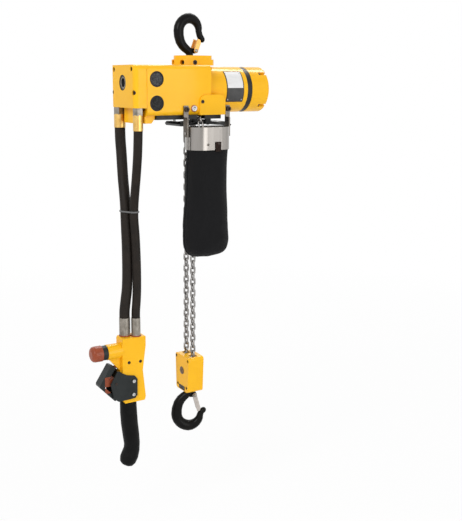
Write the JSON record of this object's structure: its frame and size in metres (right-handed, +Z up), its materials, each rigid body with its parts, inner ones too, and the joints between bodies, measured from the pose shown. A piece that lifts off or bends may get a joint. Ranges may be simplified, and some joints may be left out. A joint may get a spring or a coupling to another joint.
{
  "type": "pneumatic chain hoist",
  "caption": "Air-powered chain hoist with a latched top hook, vane motor body, chain bag, hook block on a doubled load chain and a trigger pendant hung on hoses.",
  "frame": {"origin": "seat of the top hook, where the hook rests on what carries the hoist; the load line is the Z axis", "axes": "+Z up along the load line, +X along the body towards the motor, -Y towards the front with the chain bag"},
  "size_m": [0.381, 0.1457, 0.9069],
  "materials": {
    "yellow_paint": "gloss",
    "dark_paint": "satin",
    "black_hook": "satin",
    "steel": "brushed",
    "chain_steel": "satin",
    "dark_screw": "satin",
    "cylinder_iron": "machined",
    "vane_plastic": "matte",
    "silencer": "matte",
    "brass": "satin",
    "hose_rubber": "matte",
    "grip_rubber": "matte",
    "bag_fabric": "woven",
    "dark_plastic": "matte",
    "red_plastic": "gloss"
  },
  "bodies": {
    "hoist": {"gear_housing": "yellow_paint", "valve_cover": "yellow_paint", "valve_block": "yellow_paint", "motor_housing": "yellow_paint", "motor_band": "dark_paint", "motor_end_cap": "yellow_paint", "suspension_bracket": "yellow_paint", "housing_screws": "dark_screw", "exhaust_silencers": "silencer", "chain_guide": "dark_paint", "anchor_pin": "steel", "ring_gear": "steel", "bearings": "steel", "motor_cylinder": "cylinder_iron", "motor_end_plates": "steel", "brake_springs": "steel", "valve_spring": "steel", "bag_hangers": "steel", "hose_fittings": "brass", "upper_chain": "chain_steel", "slack_chain": "chain_steel", "chain_stop": "grip_rubber", "large_hose": "hose_rubber", "small_hose": "hose_rubber"},
    "sheave": {"load_sheave": "steel", "planet_carrier": "steel"},
    "planet_1": {"planet_gear_1": "steel"},
    "planet_2": {"planet_gear_2": "steel"},
    "planet_3": {"planet_gear_3": "steel"},
    "rotor": {"motor_rotor": "steel", "rotor_vanes": "vane_plastic", "sun_pinion": "steel", "brake_disc": "steel"},
    "brake": {"brake_piston": "steel"},
    "upper_hook": {"top_hook": "black_hook", "top_hook_nut": "steel"},
    "upper_latch": {"top_latch": "brass"},
    "lever": {"limit_lever": "dark_paint"},
    "spool": {"valve_spool": "steel"},
    "hook_block": {"block_left": "yellow_paint", "block_right": "yellow_paint", "block_screws": "dark_screw", "idler_axle": "steel", "lower_chain": "chain_steel"},
    "idler": {"idler_sheave": "steel"},
    "lower_hook": {"load_hook": "black_hook", "load_hook_nut": "steel"},
    "lower_latch": {"load_latch": "steel"},
    "bag": {"bag_collar": "steel", "chain_bag": "bag_fabric"},
    "pendant": {"pendant_body": "yellow_paint", "pendant_fittings": "brass", "stop_collar": "dark_plastic", "guard_plates": "dark_plastic", "guard_screws": "steel", "grip": "grip_rubber"},
    "stop": {"stop_button": "red_plastic"},
    "rocker": {"trigger": "dark_plastic"},
    "up_valve": {"plunger_up": "red_plastic"},
    "down_valve": {"plunger_down": "red_plastic"}
  },
  "joints": [
    {"name": "hook_lift", "type": "slide", "parent": "hoist", "child": "hook_block", "axis": [0, 0, 1], "range_m": [0, 0.264], "deforming": ["upper_chain", "lower_chain"]},
    {"name": "sheave_turn", "type": "hinge", "parent": "hoist", "child": "sheave", "pos_m": [0, 0, -0.125], "axis": [1, 0, 0], "continuous": true},
    {"name": "rotor_turn", "type": "hinge", "parent": "hoist", "child": "rotor", "pos_m": [0.075, 0, -0.125], "axis": [1, 0, 0], "continuous": true},
    {"name": "planet_1_turn", "type": "hinge", "parent": "sheave", "child": "planet_1", "pos_m": [0.034, 0, -0.1025], "axis": [1, 0, 0], "continuous": true},
    {"name": "planet_2_turn", "type": "hinge", "parent": "sheave", "child": "planet_2", "pos_m": [0.034, -0.01949, -0.13625], "axis": [1, 0, 0], "continuous": true},
    {"name": "planet_3_turn", "type": "hinge", "parent": "sheave", "child": "planet_3", "pos_m": [0.034, 0.01949, -0.13625], "axis": [1, 0, 0], "continuous": true},
    {"name": "idler_turn", "type": "hinge", "parent": "hook_block", "child": "idler", "pos_m": [0, 0, -0.701], "axis": [1, 0, 0], "continuous": true},
    {"name": "brake_release", "type": "slide", "parent": "hoist", "child": "brake", "axis": [1, 0, 0], "range_m": [0, 0.0008], "stiffness_N_per_m": 20000, "springref_m": -0.004, "deforming": ["brake_springs"]},
    {"name": "top_swivel", "type": "hinge", "parent": "hoist", "child": "upper_hook", "pos_m": [0, 0, -0.06], "axis": [0, 0, 1], "continuous": true},
    {"name": "top_latch_open", "type": "hinge", "parent": "upper_hook", "child": "upper_latch", "pos_m": [0.01, 0, -0.051], "axis": [0, -1, 0], "range_deg": [0, 28], "stiffness_Nm_per_rad": 0.12, "springref_deg": -22.92},
    {"name": "limit_tilt", "type": "hinge", "parent": "hoist", "child": "lever", "pos_m": [0.022, 0, -0.1855], "axis": [0, 1, 0], "range_deg": [-3.5, 3.5], "stiffness_Nm_per_rad": 6, "deforming": ["valve_spring"]},
    {"name": "spool_shift", "type": "slide", "parent": "hoist", "child": "spool", "axis": [0, 0, 1], "range_m": [-0.0035, 0.0035]},
    {"name": "load_swivel", "type": "hinge", "parent": "hook_block", "child": "lower_hook", "pos_m": [0, 0, -0.745], "axis": [0, 0, 1], "continuous": true},
    {"name": "load_latch_open", "type": "hinge", "parent": "lower_hook", "child": "lower_latch", "pos_m": [0.0094, -0.00342, -0.758], "axis": [0.342, 0.9397, 0], "range_deg": [0, 28], "stiffness_Nm_per_rad": 0.12, "springref_deg": -22.92},
    {"name": "bag_swing", "type": "hinge", "parent": "hoist", "child": "bag", "pos_m": [0.0045, -0.062, -0.205], "axis": [1, 0, 0], "range_deg": [-8, 0]},
    {"name": "pendant_swing", "type": "hinge", "parent": "hoist", "child": "pendant", "pos_m": [-0.14, 0.002, -0.197], "axis": [0, 1, 0], "range_deg": [-6, 15], "deforming": ["large_hose", "small_hose"]},
    {"name": "stop_press", "type": "slide", "parent": "pendant", "child": "stop", "axis": [1, 0, 0], "range_m": [0, 0.004]},
    {"name": "trigger_tilt", "type": "hinge", "parent": "pendant", "child": "rocker", "pos_m": [-0.176, 0, -0.697], "axis": [0, 1, 0], "range_deg": [-5, 5], "stiffness_Nm_per_rad": 1.2},
    {"name": "up_plunge", "type": "slide", "parent": "pendant", "child": "up_valve", "axis": [1, 0, 0], "range_m": [-0.0027, 0.0027]},
    {"name": "down_plunge", "type": "slide", "parent": "pendant", "child": "down_valve", "axis": [1, 0, 0], "range_m": [-0.0027, 0.0027]}
  ],
  "couplings": [
    {"joint": "sheave_turn", "follows": "hook_lift", "rad_per_m": 130.9},
    {"joint": "rotor_turn", "follows": "hook_lift", "rad_per_m": 785.4},
    {"joint": "planet_1_turn", "follows": "hook_lift", "rad_per_m": -327.25},
    {"joint": "planet_2_turn", "follows": "hook_lift", "rad_per_m": -327.25},
    {"joint": "planet_3_turn", "follows": "hook_lift", "rad_per_m": -327.25},
    {"joint": "idler_turn", "follows": "hook_lift", "rad_per_m": 65.45},
    {"joint": "spool_shift", "follows": "limit_tilt", "m_per_rad": 0.056},
    {"joint": "up_plunge", "follows": "trigger_tilt", "m_per_rad": 0.03},
    {"joint": "down_plunge", "follows": "trigger_tilt", "m_per_rad": -0.03}
  ]
}
